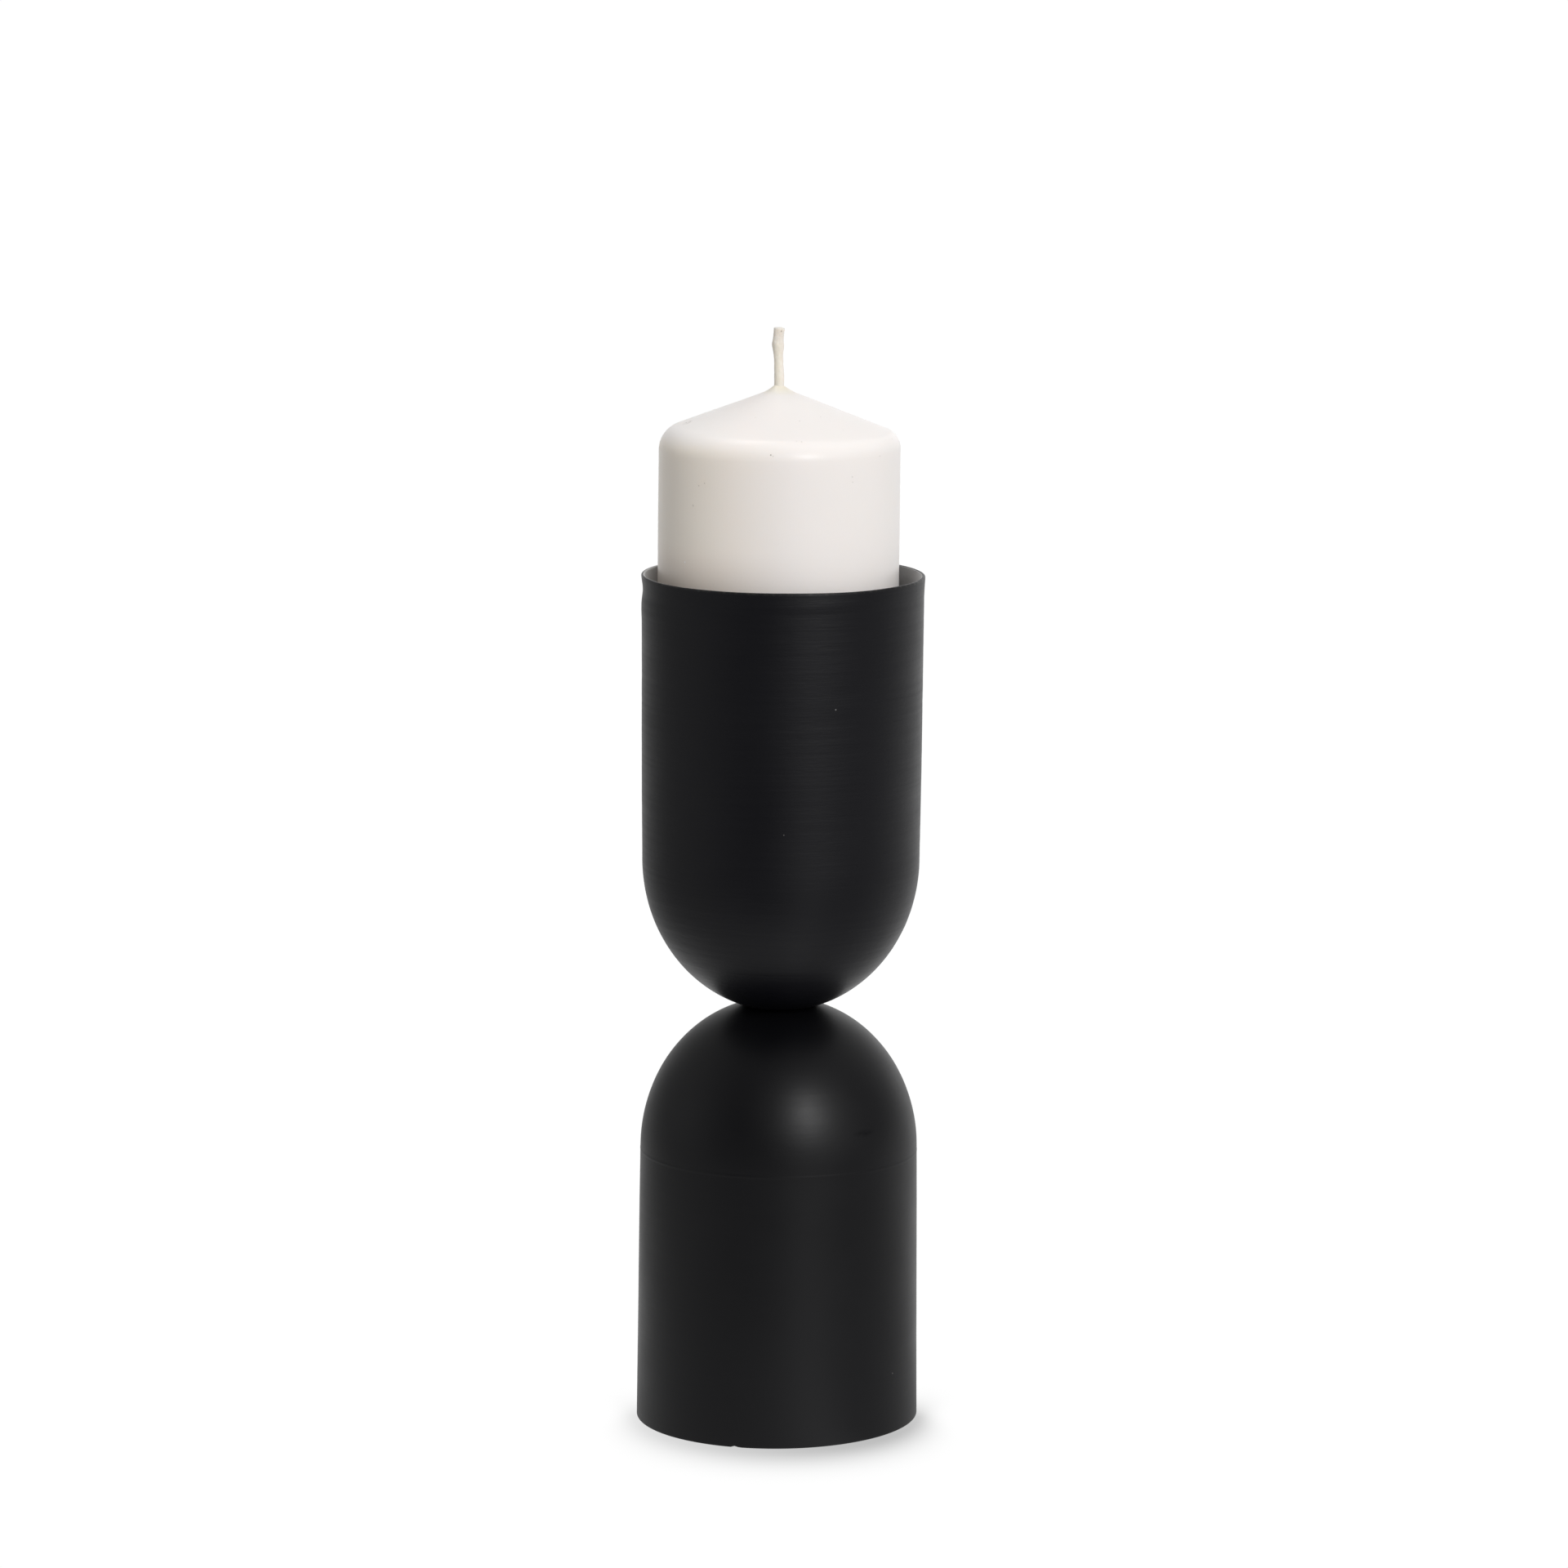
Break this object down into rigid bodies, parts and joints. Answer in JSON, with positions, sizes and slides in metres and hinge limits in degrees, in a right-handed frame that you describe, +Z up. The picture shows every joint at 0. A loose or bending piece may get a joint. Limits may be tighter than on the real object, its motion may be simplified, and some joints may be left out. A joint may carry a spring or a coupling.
{
  "type": "pillar candle holder",
  "caption": "Hourglass candle holder of spun metal cups joined pole to pole, felt-footed below, with a loose drip pan and a lift-out pillar candle in the open cup above.",
  "frame": {"origin": "centre of the resting plane, on the holder's axis, at the felt pad's underside", "axes": "+Z up along the holder's axis, from the foot to the wick; the candle stands slightly off the axis towards -X"},
  "size_m": [0.0828, 0.0828, 0.3229],
  "materials": {
    "black_powder_coat": "matte",
    "zinc_steel": "satin",
    "pan_steel": "satin",
    "black_felt": "matte",
    "wax": "satin",
    "cotton_wick": "matte",
    "tinplate": "satin"
  },
  "bodies": {
    "holder": {"upper_cup": "black_powder_coat", "base_cup": "black_powder_coat", "neck_bolt": "zinc_steel", "upper_washer": "zinc_steel", "lower_washer": "zinc_steel", "spring_washer": "zinc_steel", "hex_nut": "zinc_steel", "base_plate": "black_powder_coat", "felt_pad": "black_felt"},
    "pan": {"drip_pan": "pan_steel"},
    "candle": {"candle_wax": "wax", "candle_wick": "cotton_wick", "wick_tab": "tinplate"}
  },
  "joints": [
    {"name": "pan_lift", "type": "slide", "parent": "holder", "child": "pan", "axis": [0, 0, 1], "range_m": [0, 0.1]},
    {"name": "candle_lift", "type": "slide", "parent": "pan", "child": "candle", "axis": [0, 0, 1], "range_m": [0, 0.1]}
  ]
}
